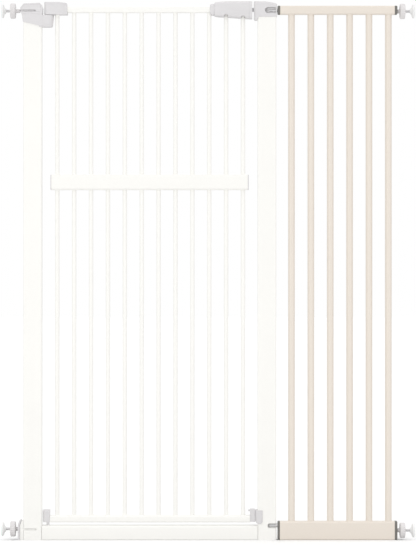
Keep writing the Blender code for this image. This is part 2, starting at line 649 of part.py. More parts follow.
def add_latch(materials, body):
    x0, x1 = BOLT_LEFT_X, BOLT_RIGHT_X
    low, high = LATCH_Z - BOLT_HALF_HEIGHT, LATCH_Z + BOLT_HALF_HEIGHT
    outline = [(x0, low), (x1, low), (x1, high), (x0, high)]
    half = BOLT_HALF_DEPTH
    nose = rounded(outline, [0, 2.5, 2.5, 0])
    bolt = add("latch_bolt", materials["zinc_steel"], (x1, 0, LATCH_Z), prism("Y", nose, -half, half), body)
    stem_half, stem_low = 2.4, LATCH_Z - 1
    hole = box(SLIDER_X - stem_half - GAP, SLIDER_X + stem_half + GAP, -2.8, 2.8, stem_low - GAP, high + 5)
    cut(bolt, [hole])
    reach, depth = SLIDER_LENGTH / 2, SLIDER_HALF_DEPTH
    corners = [
        (SLIDER_X - reach, 1494.2),
        (SLIDER_X + reach, 1494.2),
        (SLIDER_X + reach, 1498.4),
        (SLIDER_X - reach, 1497.2),
    ]
    button = prism("Y", rounded(corners, [0, 0, 1.5, 1.5]), -depth, depth)
    slider = add("thumb_slider", materials["wheel_grey_plastic"], (SLIDER_X, 0, 1494.2), button, body)
    stem = box(SLIDER_X - stem_half, SLIDER_X + stem_half, -2.5, 2.5, stem_low, 1495)
    join(slider, [stem])


def add_hinge_pins(materials, body):
    for name, low, high in (("upper_hinge_pin", 1434.0, 1485.0), ("lower_hinge_pin", 18.0, 77.5)):
        radius = PIN_RADIUS
        profile = [
            (low, 0), (low, radius - 1.2), (low + 1.5, radius), (high - 0.5, radius),
            (high, radius - 0.5), (high, 0),
        ]
        shape = turned("Z", (HINGE_X, 0), profile, PIVOT_SIDES)
        add(name, materials["zinc_steel"], (HINGE_X, 0, low), shape, body)


# ---- wall spindles --------------------------------------------------------------------------------------------


def add_spindle(name, materials, side, z, inner_x, frame_x, wheel_x):
    """A threaded rod with its wall pad, and the nut wheel that drives it; side is -1 left, 1 right."""
    face_x = side * PAD_FACE_X
    rod_body = add_body(f"{name}_rod_axis", (face_x, 0, z))
    wheel_body = add_body(f"{name}_wheel_axis", (wheel_x, 0, z))
    end_x, radius = face_x - side * 3.3, ROD_RADIUS
    profile = [
        (inner_x, 0), (inner_x, radius - 1), (inner_x + side, radius), (end_x - side * 0.5, radius),
        (end_x, radius - 0.5), (end_x, 0),
    ]
    rod = turned("X", (0, z), profile)
    add(f"{name}_rod", materials["zinc_steel"], (end_x, 0, z), rod, rod_body)
    stations = [
        (0, 0), (0, PAD_RADIUS - 1.5), (1.5, PAD_RADIUS), (4.5, PAD_RADIUS), (6.5, 17), (8, 10),
        (PAD_DEPTH, 7.5), (PAD_DEPTH, ROD_RADIUS + GAP), (3, ROD_RADIUS + GAP), (3, 0),
    ]
    profile = [(face_x - side * along, r) for along, r in stations]
    pad = turned("X", (0, z), profile, PIVOT_SIDES)
    add(f"{name}_pad", materials["pad_white"], (face_x, 0, z), pad, rod_body)

    bore = (ROD_RADIUS + 0.1) / math.cos(math.pi / PIVOT_SIDES)
    hub_x, far_x, rim = frame_x + side * GAP, wheel_x + side * WHEEL_DEPTH, WHEEL_RADIUS
    profile = [
        (hub_x, bore), (hub_x, 5.5), (wheel_x, 5.5), (wheel_x, rim - 2), (wheel_x + side * 2, rim),
        (far_x - side * 5, rim), (far_x - side * 1.5, rim - 4.5), (far_x, 9), (far_x, bore),
    ]
    wheel = turned("X", (0, z), profile, PIVOT_SIDES, ring=True)
    add(f"{name}_wheel", materials["wheel_grey_plastic"], (wheel_x, 0, z), wheel, wheel_body)


def add_spindles(materials):
    inner_left, inner_right = -480.0, 480.0
    cap_x, plate_x, panel_x = HINGE_CAP_LEFT_X, CORNER_OUTER_X, PANEL_CAP_RIGHT_X
    add_spindle("left_top", materials, -1, LEFT_TOP_Z, inner_left, cap_x, LEFT_WHEEL_X)
    add_spindle("left_bottom", materials, -1, LEFT_LOW_Z, inner_left, plate_x, LEFT_WHEEL_X)
    add_spindle("right_top", materials, 1, RIGHT_TOP_Z, inner_right, panel_x, RIGHT_WHEEL_X)
    add_spindle("right_bottom", materials, 1, RIGHT_LOW_Z, inner_right, panel_x, RIGHT_WHEEL_X)


def add_springs(materials, body):
    start, end = HANDLE_PEG_X + 3.4, BOLT_LEFT_X - GAP
    shape = coil(start, end, LATCH_Z, 4.0, 0.6, 6)
    add("latch_spring", materials["zinc_steel"], (start, 0, LATCH_Z), shape, body)


def main():
    for scene_object in list(bpy.data.objects):
        bpy.data.objects.remove(scene_object, do_unlink=True)
    materials = make_materials()
    add_posts(materials)
    add_sill(materials)
    add_corner_fitting(materials)
    add_hinge_cap(materials)
    add_latch_cap(materials)
    add_keeper(materials)
    add_panel_rails(materials)
    add_panel_bars(materials)
    add_panel_caps(materials)
    add_connectors(materials)
    pins = add_body("hinge_pin_axis", (HINGE_X, 0, 0))
    door = add_body("door_axis", (HINGE_X, 0, 0))
    add_hinge_pins(materials, pins)
    add_door_bars(materials, door)
    add_door_rails(materials, door)
    add_mid_rail_plugs(materials, door)
    add_housing(materials, door)
    add_handle(materials, door)
    add_lower_fittings(materials, door)
    latch = add_body("latch_axis", (SLIDER_X, 0, LATCH_Z))
    add_latch(materials, latch)
    add_springs(materials, latch)
    add_spindles(materials)


main()
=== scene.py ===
"""The looks of the tall safety gate: paint, plastics and steel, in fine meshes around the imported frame.
Helper functions take millimetres and turn them into metres when a mesh is made."""

import json
import math

import bmesh
import bpy
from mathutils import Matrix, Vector


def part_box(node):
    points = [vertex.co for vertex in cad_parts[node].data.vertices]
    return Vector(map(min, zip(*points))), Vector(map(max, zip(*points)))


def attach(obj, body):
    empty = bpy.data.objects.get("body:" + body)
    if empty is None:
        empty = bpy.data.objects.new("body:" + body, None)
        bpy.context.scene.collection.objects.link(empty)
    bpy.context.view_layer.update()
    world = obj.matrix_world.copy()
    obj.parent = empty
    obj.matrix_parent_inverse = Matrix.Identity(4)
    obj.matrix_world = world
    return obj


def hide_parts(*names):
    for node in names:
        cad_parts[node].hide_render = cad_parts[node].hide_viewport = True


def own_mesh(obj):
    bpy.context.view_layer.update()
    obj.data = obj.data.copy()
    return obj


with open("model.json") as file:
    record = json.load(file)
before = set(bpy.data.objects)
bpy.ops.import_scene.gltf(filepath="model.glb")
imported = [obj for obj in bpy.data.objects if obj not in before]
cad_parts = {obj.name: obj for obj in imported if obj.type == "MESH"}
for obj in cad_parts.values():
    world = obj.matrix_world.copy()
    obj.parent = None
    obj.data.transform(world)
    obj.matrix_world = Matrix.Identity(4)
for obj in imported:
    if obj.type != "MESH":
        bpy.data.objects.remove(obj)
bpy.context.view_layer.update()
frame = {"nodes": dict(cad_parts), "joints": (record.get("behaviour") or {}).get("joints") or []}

MM = 0.001
GAP = 0.3
WALL = 1.0
BAR_SIDES = 40
ROUND_SIDES = 64
CORNER_STEPS = 7
JOINTS = {joint["name"]: joint for joint in frame["joints"]}
HINGE_X = JOINTS["door_swing"]["pos_m"][0] / MM
THREAD_PITCH, THREAD_DEPTH = 1.25, 0.62
LINER_Y = -9.4  # front face of the liners behind the rod slots
STUD_LINER_Y = -4.6
LINER_END, STUD_LINER_END = -476.5, 188.8
ROD_HOLE, STUD_HOLE, PIN_HOLE = 4.6, 6.3, 4.05  # radii of the ways for rods, studs and hinge pins
ROD_SLOT, STUD_SLOT = 2.75, 8.3  # half heights of the slots that show a rod and the upper stud
POST_TOP = 1490.3  # top of the space for a post inside its cap
BAR_WALL = 0.8
PEG_X, PEG_Z = 57.0, 1476.0  # the handle's pegs, which pass through the door's top rail
SIDES = (-1, 1)  # front, back
SPINDLES = ("left_top", "left_bottom", "right_top", "right_bottom")


def span(node):
    """A CAD node's lowest and highest corners in millimetres."""
    low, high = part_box(node)
    return low / MM, high / MM


def middle(node):
    low, high = span(node)
    return (low + high) / 2


# ---- materials ----


def srgb(red, green, blue):
    values = [channel / 255 for channel in (red, green, blue)]
    linear = [v / 12.92 if v <= 0.04045 else ((v + 0.055) / 1.055) ** 2.4 for v in values]
    return (*linear, 1.0)


class Nodes:
    """A material's node tree, with the few links that every finish here uses."""

    def __init__(self, name, roughness, metallic=0.0):
        self.material = bpy.data.materials.new(name)
        self.material.use_nodes = True
        self.tree = self.material.node_tree
        self.shader = self.tree.nodes["Principled BSDF"]
        self.shader.inputs["Roughness"].default_value = roughness
        self.shader.inputs["Metallic"].default_value = metallic
        self.place = self.tree.nodes.new("ShaderNodeTexCoord").outputs["Object"]

    def add(self, kind, **values):
        node = self.tree.nodes.new(kind)
        for key, value in values.items():
            if key in node.inputs:
                node.inputs[key].default_value = value
            else:
                setattr(node, key, value)
        return node

    def noise(self, scale, detail=3.0, rough=0.5, stretch=None):
        """Noise with this many features a metre, stretched along an axis if asked."""
        node = self.add("ShaderNodeTexNoise", Scale=scale, Detail=detail, Roughness=rough)
        source = self.place
        if stretch:
            mapping = self.add("ShaderNodeMapping", Scale=stretch)
            self.tree.links.new(source, mapping.inputs["Vector"])
            source = mapping.outputs["Vector"]
        self.tree.links.new(source, node.inputs["Vector"])
        return node.outputs["Fac"]

    def spread(self, factor, low, high, from_low=0.3, from_high=0.7):
        node = self.add("ShaderNodeMapRange")
        node.inputs["From Min"].default_value = from_low
        node.inputs["From Max"].default_value = from_high
        node.inputs["To Min"].default_value = low
        node.inputs["To Max"].default_value = high
        self.tree.links.new(factor, node.inputs["Value"])
        return node.outputs["Result"]

    def mix(self, factor, one, other):
        """A colour between two, or with one of them a socket."""
        node = self.add("ShaderNodeMix", data_type="RGBA")
        self.tree.links.new(factor, node.inputs["Factor"])
        for socket, value in ((node.inputs[6], one), (node.inputs[7], other)):
            if isinstance(value, tuple):
                socket.default_value = value
            else:
                self.tree.links.new(value, socket)
        return node.outputs[2]

    def colour(self, socket):
        self.tree.links.new(socket, self.shader.inputs["Base Color"])

    def roughness(self, socket):
        self.tree.links.new(socket, self.shader.inputs["Roughness"])

    def bump(self, heights):
        """Bumps stacked on each other: (height socket, strength, depth in metres)."""
        normal = None
        for height, strength, depth in heights:
            node = self.add("ShaderNodeBump", Strength=strength, Distance=depth)
            self.tree.links.new(height, node.inputs["Height"])
            if normal:
                self.tree.links.new(normal, node.inputs["Normal"])
            normal = node.outputs["Normal"]
        self.tree.links.new(normal, self.shader.inputs["Normal"])


def shade(colour, factor):
    return (*(channel * factor for channel in colour[:3]), 1.0)


def powder_coat(name, colour, gloss_roughness):
    """Paint baked on steel: orange peel a millimetre or two across, and faint uneven cover."""
    nodes = Nodes(name, gloss_roughness)
    cover = nodes.noise(9.0, 4.0)
    fine = nodes.noise(260.0, 2.0)
    base = nodes.mix(nodes.spread(cover, 0.0, 1.0), shade(colour, 0.985), shade(colour, 1.0))
    nodes.colour(nodes.mix(nodes.spread(fine, 0.0, 0.35), base, shade(colour, 0.96)))
    nodes.roughness(nodes.spread(fine, gloss_roughness - 0.05, gloss_roughness + 0.07))
    peel = nodes.noise(620.0, 2.0, 0.6)
    nodes.bump([(peel, 0.35, 0.00012), (nodes.noise(2600.0, 1.0), 0.12, 0.00004)])
    nodes.shader.inputs["Coat Weight"].default_value = 0.18
    nodes.shader.inputs["Coat Roughness"].default_value = 0.22
    return nodes.material


def moulded_plastic(name, colour, roughness, grain=3200.0):
    """Spark-eroded mould grain, with slow flow marks in colour and gloss."""
    nodes = Nodes(name, roughness)
    flow = nodes.noise(24.0, 3.0, 0.55, stretch=(0.35, 1.0, 1.0))
    pits = nodes.noise(grain, 2.0, 0.65)
    base = nodes.mix(nodes.spread(flow, 0.0, 1.0), shade(colour, 0.97), shade(colour, 1.02))
    nodes.colour(nodes.mix(nodes.spread(pits, 0.0, 0.5), base, shade(colour, 0.93)))
    nodes.roughness(nodes.spread(flow, roughness - 0.05, roughness + 0.06))
    nodes.bump([(pits, 0.4, 0.00009), (flow, 0.12, 0.0002)])
    return nodes.material


def turned_steel(name, colour, roughness, stretch):
    """Zinc-plated steel with fine tool marks drawn out along one direction."""
    nodes = Nodes(name, roughness, 0.45)
    marks = nodes.noise(2400.0, 2.0, 0.6, stretch=stretch)
    bloom = nodes.noise(160.0, 3.0)
    dull = nodes.mix(nodes.spread(bloom, 0.0, 1.0), shade(colour, 0.86), colour)
    nodes.colour(dull)
    nodes.roughness(nodes.spread(bloom, roughness - 0.06, roughness + 0.12))
    nodes.bump([(marks, 0.25, 0.00005)])
    return nodes.material


def soft_rubber(name, colour):
    nodes = Nodes(name, 0.62)
    dust = nodes.noise(180.0, 4.0, 0.6)
    base = nodes.mix(nodes.spread(dust, 0.0, 1.0), shade(colour, 0.96), colour)
    nodes.colour(base)
    nodes.roughness(nodes.spread(dust, 0.55, 0.72))
    nodes.bump([(nodes.noise(1500.0, 2.0), 0.3, 0.0001)])
    return nodes.material


FINISHES = {
    "gate_white": powder_coat("gate_white_paint", srgb(249, 248, 244), 0.4),
    "panel_beige": powder_coat("panel_beige_paint", srgb(233, 224, 213), 0.42),
    "light_grey_plastic": moulded_plastic("light_grey_plastic_grain", srgb(222, 220, 221), 0.48),
    "wheel_grey_plastic": moulded_plastic("wheel_grey_plastic_grain", srgb(224, 221, 221), 0.52),
    "dark_grey_plastic": moulded_plastic("dark_grey_plastic_grain", srgb(118, 116, 111), 0.5, 2600.0),
    "zinc_steel": turned_steel("zinc_plated_steel", srgb(234, 233, 234), 0.38, (3.0, 0.6, 0.6)),
    "pad_white": soft_rubber("pad_white_rubber", srgb(240, 240, 239)),
}


# ---- outlines and shapes, in millimetres ----


def rectangle(a0, a1, b0, b1):
    return [(a0, b0), (a1, b0), (a1, b1), (a0, b1)]


def rounded(points, radii, steps=CORNER_STEPS):
    """The outline with each corner turned into an arc; radii is one number or one per corner."""
    if not isinstance(radii, (list, tuple)):
        radii = [radii] * len(points)
    result = []
    for index, radius in enumerate(radii):
        corner = Vector(points[index])
        if radius == 0:
            result.append(tuple(corner))
            continue
        before = (Vector(points[index - 1]) - corner).normalized()
        after = (Vector(points[(index + 1) % len(points)]) - corner).normalized()
        half = before.angle(after) / 2
        centre = corner + (before + after).normalized() * (radius / math.sin(half))
        start = corner + before * (radius / math.tan(half)) - centre
        end = corner + after * (radius / math.tan(half)) - centre
        sweep = math.atan2(start.x * end.y - start.y * end.x, start.dot(end))
        for step in range(steps + 1):
            angle = sweep * step / steps
            turned_x = start.x * math.cos(angle) - start.y * math.sin(angle)
            turned_y = start.x * math.sin(angle) + start.y * math.cos(angle)
            result.append((centre.x + turned_x, centre.y + turned_y))
    return result


def circle(a, b, radius, sides=ROUND_SIDES):
    angles = [2 * math.pi * side / sides for side in range(sides)]
    return [(a + radius * math.cos(t), b + radius * math.sin(t)) for t in angles]


def at(axis, a, b, along):
    return {"X": (along, a, b), "Y": (a, along, b), "Z": (a, b, along)}[axis]


def loft(rings, closed=False):
    """Skins rings of points that all have the same count; open ends are capped."""
    count = len(rings[0])
    points = [point for ring in rings for point in ring]
    faces = []
    pairs = [(i, i + 1) for i in range(len(rings) - 1)]
    if closed:
        pairs.append((len(rings) - 1, 0))
    for one, other in pairs:
        for i in range(count):
            j = (i + 1) % count
            faces.append([one * count + i, one * count + j, other * count + j, other * count + i])
    if not closed:
        faces.append(list(range(count)))
        faces.append(list(range(len(points) - count, len(points))))
    return points, faces


def prism(axis, outline, low, high):
    return loft([[at(axis, a, b, along) for a, b in outline] for along in (low, high)])


def tube(axis, outer, inner, low, high, lip=0.25):
    """An open-ended tube with its outer and inner end edges eased by a small lip."""

    def ring(outline, along):
        return [at(axis, a, b, along) for a, b in outline]

    way_in = 0.3
    edge = [(a + (c - a) * way_in, b + (d - b) * way_in) for (a, b), (c, d) in zip(outer, inner)]
    rings = [ring(outer, low + lip), ring(outer, high - lip), ring(edge, high)]
    rings += [ring(inner, high), ring(inner, low), ring(edge, low)]
    return loft(rings, closed=True)


def turned(axis, centre, profile, sides=ROUND_SIDES, ring=False, ripple=None):
    """A turned piece from (place along the axis, radius). ripple(angle, radius) changes a radius."""
    rings = []
    for along, radius in profile:
        loop = []
        for side in range(sides):
            t = 2 * math.pi * side / sides
            r = ripple(t, radius) if ripple else radius
            loop.append(at(axis, centre[0] + r * math.cos(t), centre[1] + r * math.sin(t), along))
        rings.append(loop)
    return loft(rings, closed=ring)


def rod_shape(axis, a, b, radius, low, high, sides=ROUND_SIDES):
    return prism(axis, circle(a, b, radius, sides), low, high)


def block(x0, x1, y0, y1, z0, z1):
    return prism("Z", rectangle(x0, x1, y0, y1), z0, z1)


def pin_hole(low, high):
    return rod_shape("Z", HINGE_X, 0, PIN_HOLE, low, high, 48)


def face_line(side, near, far, x0, x1, z0, z1):
    """A shallow mould line cut into a front or back face, from one depth to another."""
    return [block(x0, x1, *sorted((side * near, side * far)), z0, z1)]


def tube_outlines(low, high, radii, steps=CORNER_STEPS):
    """A rail's outer outline and its inner one, a wall's thickness in."""
    outer = rounded(rectangle(low.y, high.y, low.z, high.z), radii, steps)
    inner = rectangle(low.y + WALL, high.y - WALL, low.z + WALL, high.z - WALL)
    return outer, rounded(inner, [radius - WALL for radius in radii], steps)


def bead(path, radius, sides=8, lump=0.18, lumps=1.3):
    """A weld bead along a closed path, a little lumpy as it goes. lumps is the number a millimetre."""
    rings = []
    travelled = 0.0
    for index, point in enumerate(path):
        point = Vector(point)
        after = Vector(path[(index + 1) % len(path)])
        before = Vector(path[index - 1])
        along = (after - before).normalized()
        side = along.cross(Vector((0.31, 0.17, 0.94))).normalized()
        up = along.cross(side)
        r = radius * (1 + lump * math.sin(travelled * lumps * 2 * math.pi))
        travelled += (after - point).length
        angles = [2 * math.pi * s / sides for s in range(sides)]
        rings.append([tuple(point + side * r * math.cos(t) + up * r * math.sin(t)) for t in angles])
    return loft(rings, closed=True)


# ---- making pieces ----


def mesh_of(name, shapes):
    points, faces = [], []
    for shape_points, shape_faces in shapes:
        start = len(points)
        points += shape_points
        faces += [[start + index for index in face] for face in shape_faces]
    mesh = bpy.data.meshes.new(name)
    mesh.from_pydata([Vector(point) * MM for point in points], [], faces)
    work = bmesh.new()
    work.from_mesh(mesh)
    bmesh.ops.recalc_face_normals(work, faces=work.faces)
    work.to_mesh(mesh)
    work.free()
    return mesh


def put_in_scene(name, data):
    made = bpy.data.objects.new(name, data)
    bpy.context.scene.collection.objects.link(made)
    return made


def new_object(name, shapes):
    return put_in_scene(name, mesh_of(name, shapes))


def change(target, operation, shapes):
    """A Boolean step, made at once so that no helper mesh is left to follow the joints."""
    helper = new_object("helper", shapes)
    step = target.modifiers.new("step", "BOOLEAN")
    step.operation = operation
    step.solver = "EXACT"
    step.use_self = True
    step.object = helper
    settle(target)
    bpy.data.objects.remove(helper)


def settle(target):
    """Makes the modifiers part of the mesh."""
    graph = bpy.context.evaluated_depsgraph_get()
    mesh = bpy.data.meshes.new_from_object(target.evaluated_get(graph), depsgraph=graph)
    target.modifiers.clear()
    target.data = mesh


def ease_edges(target, width, segments=3, angle=32):
    step = target.modifiers.new("edges", "BEVEL")
    step.width = width * MM
    step.segments = segments
    step.limit_method = "ANGLE"
    step.angle_limit = math.radians(angle)
    step.use_clamp_overlap = True
    step.miter_outer = "MITER_ARC"
    settle(target)


def show(name, slot, body, shapes, stands_for=(), ease=None, cuts=(), joins=(), late_cuts=(), smooth=40):
    """One finished piece. joins and cuts are lists of groups of shapes; late cuts keep a crisp edge."""
    made = new_object(name, shapes)
    for group in joins:
        change(made, "UNION", group)
    for group in cuts:
        change(made, "DIFFERENCE", group)
    if ease:
        ease_edges(made, *ease)
    for group in late_cuts:
        change(made, "DIFFERENCE", group)
    mesh = made.data
    mesh.polygons.foreach_set("use_smooth", [True] * len(mesh.polygons))
    mesh.set_sharp_from_angle(angle=math.radians(smooth))
    mesh.materials.clear()
    mesh.materials.append(FINISHES[slot])
    weighted = made.modifiers.new("even shading", "WEIGHTED_NORMAL")
    weighted.keep_sharp = True
    settle(made)
    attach(made, body)
    if stands_for:
        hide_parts(*stands_for)
    return made


# ---- frame ----


def slot_cut(x0, x1, z, half_height, depth, open_right):
    """A slot through a front wall, rounded at its closed end."""
    corners = rectangle(x0, x1, z - half_height, z + half_height)
    radius = half_height * 0.98
    radii = [radius, 0, 0, radius] if open_right else [0, radius, radius, 0]
    return prism("Y", rounded(corners, radii, 8), -40, depth)


def add_posts():
    for node in ("left_post", "right_post"):
        low, high = span(node)
        outer = rectangle(low.x, high.x, low.y, high.y)
        inner = rectangle(low.x + WALL, high.x - WALL, low.y + WALL, high.y - WALL)
        shape = tube("Z", rounded(outer, 4.0), rounded(inner, 3.0), low.z, high.z)
        cuts = []
        if node == "left_post":
            for name in SPINDLES[:2]:
                z = middle(f"{name}_rod").z
                cuts.append([rod_shape("X", 0, z, ROD_HOLE, low.x - 5, low.x + 5, 32)])
                cuts.append([slot_cut(low.x - 6, low.x + 37, z, ROD_SLOT, low.y + 3, False)])
        else:
            for name, reach, tall in (
                ("connector_bolt_top", 31.2, STUD_SLOT),
                ("connector_bolt_bottom", 24.4, 6.7),
            ):
                z = middle(name).z
                cuts.append([rod_shape("X", 0, z, STUD_HOLE, high.x - 5, high.x + 5, 32)])
                cuts.append([slot_cut(high.x - reach, high.x + 6, z, tall, low.y + 3, True)])
        show(f"{node}_tube", "gate_white", "frame", [shape], [node], cuts=cuts)


def add_liners():
    """Moulded channels in the posts that guide the spindles and the panel's studs."""
    for name, slot, guided, x0, x1, y, tall in (
        ("left_top_liner", "light_grey_plastic", "left_top_rod", -513.6, LINER_END, LINER_Y, 4.2),
        ("left_bottom_liner", "gate_white", "left_bottom_rod", -512.8, LINER_END, LINER_Y, 4.2),
        (
            "stud_top_liner", "light_grey_plastic", "connector_bolt_top",
            157.0, STUD_LINER_END, STUD_LINER_Y, 9.6,
        ),
        (
            "stud_bottom_liner", "gate_white", "connector_bolt_bottom",
            163.0, STUD_LINER_END, STUD_LINER_Y, 8.0,
        ),
    ):
        z = middle(guided).z
        plate = prism("Y", rounded(rectangle(x0, x1, z - tall, z + tall), 1.5), y, y + 1.2)
        show(name, slot, "frame", [plate], ease=(0.3, 2, 50))


def add_sill():
    low, high = span("sill_tube")
    low.x, high.x = low.x - GAP, high.x + GAP
    radii = [3, 3, 7, 7]
    shape = tube("X", *tube_outlines(low, high, radii), low.x, high.x, 0.1)
    hole = pin_hole(high.z - 5, high.z + 5)
    show("sill", "gate_white", "frame", [shape], ["sill_tube"], late_cuts=[[hole]])
    welds = []
    for x in (low.x + 0.1, high.x - 0.1):
        path = rounded(rectangle(low.y + 0.4, high.y - 0.4, low.z + 0.6, high.z - 0.4), radii, 10)
        welds.append(bead(dense([(x, y, z) for y, z in path], 1.2), 0.4))
    show("sill_welds", "gate_white", "frame", welds)


def dense(path, step):
    """The closed path with a point at least every so many millimetres."""
    result = []
    for index, point in enumerate(path):
        point, after = Vector(point), Vector(path[(index + 1) % len(path)])
        count = max(1, int((after - point).length / step))
        result += [tuple(point.lerp(after, part / count)) for part in range(count)]
    return result


def inset(outline, distance):
    """The convex outline with its sides moved inwards."""
    pairs = list(zip(outline, outline[1:] + outline[:1]))
    side = math.copysign(1, sum(a * d - c * b for (a, b), (c, d) in pairs))
    lines = []
    for start, end in pairs:
        along = (Vector(end) - Vector(start)).normalized()
        lines.append((Vector(start) + Vector((-along.y, along.x)) * side * distance, along))
    result = []
    for (p, d), (q, e) in zip([lines[-1]] + lines[:-1], lines):
        t = ((q - p).x * e.y - (q - p).y * e.x) / (d.x * e.y - d.y * e.x)
        result.append(tuple(p + d * t))
    return result


def groove_round(outline, distance, width, radius, face_y, depth):
    """A cutter for a line that follows an outline's edge, a little way in, on a front or back face."""
    outer = rounded(inset(outline, distance), radius)
    inner = rounded(inset(outline, distance + width), max(radius - width, 0.4))
    low, high = sorted((face_y - math.copysign(2, -face_y), face_y + math.copysign(depth, -face_y)))
    return tube("Y", outer, inner, low, high, 0.01)


def post_room(node, low, high, gap=0.15):
    """The space a cap leaves for a post."""
    start, end = span(node)
    outline = rectangle(start.x - gap, end.x + gap, start.y - gap, end.y + gap)
    return prism("Z", rounded(outline, 4.0), low, high)


def add_hinge_cap():
    low, high = span("hinge_post_cap")
    rod_z = middle("left_top_rod").z
    half = high.y
    corners = [
        (-515.1, 1442.3),
        (-460.7, low.z + 1.0),
        (-460.7, 1461.0),
        (-459.7, 1480.0),
        (-463.3, 1488.8),
        (-467.5, 1494.7),
        (-512.6, 1492.6),
        (low.x + 0.2, 1480.0),
        (-517.8, 1461.5),
    ]
    body = prism("Y", rounded(corners, [2.0, 0.8, 3, 5, 4, 4, 4, 3, 4]), -half, half)
    arm = []
    for z, right in ((low.z, -433.2), (low.z + 0.8, -432.5), (1460.4, high.x), (1461.0, -429.8)):
        plan = rectangle(-470, right, -13.3, 13.3)
        arm.append([(x, y, z) for x, y in rounded(plan, [0, 12.0, 12.0, 0], 14)])
    inner = [
        post_room("left_post", low.z - 20, POST_TOP),
        rod_shape("X", 0, rod_z, ROD_HOLE, low.x - 5, -505, 32),
    ]
    lines = []
    lid = [(-519.4, 1465.0), (-463.5, 1465.0), *corners[3:8]]
    for side in SIDES:
        lines.append([groove_round(lid, 3.6, 0.7, 2.0, side * half, 0.55)])
        lines.append(face_line(side, half - 0.5, half + 2, -530, -450, 1463.4, 1464.0))
        lines.append(face_line(side, 12.9, 15.0, -459.5, -440, 1433.0, 1433.6))
    slot = slot_cut(low.x - 5, -479, rod_z, ROD_SLOT, LINER_Y, False)
    pin = pin_hole(low.z - 5, 1466)
    show(
        "hinge_cap", "light_grey_plastic", "frame", [body], ["hinge_post_cap"],
        ease=(1.4, 4, 50),
        joins=[[loft(arm)]],
        late_cuts=[inner, [slot], [pin]] + lines,
    )


def section(x, low, high, half, radii, steps=CORNER_STEPS):
    """A rounded slice across X for a loft: height from low to high and depth from -half to half."""
    return [(x, y, z) for y, z in rounded(rectangle(-half, half, low, high), radii, steps)]


def add_latch_cap():
    low, high = span("latch_post_cap")
    radii = [2.5, 2.5, 4.5, 4.5]
    stations = [
        (low.x, 1450.0, 1498.3, 12.6),
        (low.x + 0.4, 1448.6, 1499.2, 13.3),
        (low.x + 1.2, 1447.4, 1499.6, 13.9),
        (low.x + 2.2, 1447.0, 1499.6, 14.0),
        (136.6, 1447.0, 1499.6, 14.0),
        (138.2, 1448.2, 1499.6, 14.0),
        (139.8, 1453.6, 1499.6, 14.0),
        (141.2, 1455.4, 1499.6, 14.0),
        (143.0, 1455.7, 1499.6, 14.0), (155.0, 1455.7, 1499.3, 14.0),
        (165.0, 1455.7, 1498.5, 14.0), (175.0, 1455.7, 1497.1, 14.0),
        (184.0, 1455.7, 1495.2, 14.0),
        (high.x - 2.0, 1455.9, 1493.2, 14.0),
        (high.x - 0.8, 1456.5, 1492.2, 13.6),
        (high.x - 0.2, 1457.6, 1491.0, 12.9),
        (high.x, 1458.4, 1490.2, 12.4),
    ]
    rings = [section(x, z0, z1, half, radii) for x, z0, z1, half in stations]
    bolt_z = middle("connector_bolt_top").z
    bolt = span("latch_bolt")
    pocket = block(low.x - 3, bolt[1].x + 0.6, -5.3, 5.3, bolt[0].z - 0.3, bolt[1].z + 8.8)
    room = [post_room("right_post", 1430, POST_TOP)]
    recess = [slot_cut(158.8, high.x + 6, bolt_z, STUD_SLOT, -10.5, True)]
    way = [rod_shape("X", 0, bolt_z, STUD_HOLE, high.x - 4, high.x + 4, 48)]
    lines = [
        face_line(-1, 13.5, 16, 131.2, 131.8, 1440, 1510),
        face_line(1, 13.5, 16, 131.2, 131.8, 1440, 1510),
        face_line(1, 13.5, 16, 140, 200, 1459.0, 1459.6),
    ]
    show(
        "latch_cap", "light_grey_plastic", "frame", [loft(rings)], ["latch_post_cap"],
        late_cuts=[room, recess, way, [pocket]] + lines,
    )


def add_keeper():
    low, high = span("latch_keeper")
    corners = rectangle(low.x, high.x, low.z, high.z)
    body = prism("Y", rounded(corners, [8, 8, 2.5, 1.8]), low.y, high.y)
    room = post_room("right_post", low.z - 5, high.z + 5)
    notch = block(low.x - 3, 139, -4.3, 4.3, 75, high.z + 5)
    lines = [[groove_round(corners, 2.6, 0.6, 5, side * high.y, 0.4)] for side in SIDES]
    show(
        "keeper", "light_grey_plastic", "frame", [body], ["latch_keeper"],
        ease=(1.0, 3, 60),
        late_cuts=[[room], [notch]] + lines,
    )


def add_corner():
    low, high = span("corner_fitting")
    rod_z = middle("left_bottom_rod").z
    plate_x = low.x + 5.6
    hole = rod_shape("X", 0, rod_z, ROD_HOLE, low.x - 5, high.x + 5, 48)
    corners = [
        (high.x + GAP, 0),
        (high.x + GAP, high.z - 2),
        (low.x + 10.8, high.z - 2),
        (plate_x + GAP, high.z - 14.5),
        (plate_x + GAP, 0),
    ]
    body = prism("Y", corners, low.y + 2.6, high.y - 2.6)
    show("corner_block", "gate_white", "frame", [body], ease=(0.4, 2, 60), late_cuts=[[hole]])
    upright = block(low.x, plate_x, low.y, high.y, 0, high.z - 14)
    corners = [
        (low.x, high.z - 16),
        (low.x, high.z - 13.5),
        (low.x + 5.4, high.z),
        (low.x + 10.4, high.z),
        (plate_x, high.z - 13.5),
        (plate_x, high.z - 16),
    ]
    brace = prism("Y", corners, low.y, high.y)
    ribs = [[block(low.x - 1, low.x + 0.5, -9.5, 9.5, z, z + 0.7)] for z in (8.0, 11.0)]
    show(
        "corner_plate", "light_grey_plastic", "frame", [upright], ["corner_fitting"],
        ease=(0.9, 3, 20),
        joins=[[brace]],
        late_cuts=[[hole]] + ribs,
    )


# ---- extension panel ----


SHOULDER = 5.0  # rounding along the top of the panel's bottom rail
LOW_CAP_END = 199.6


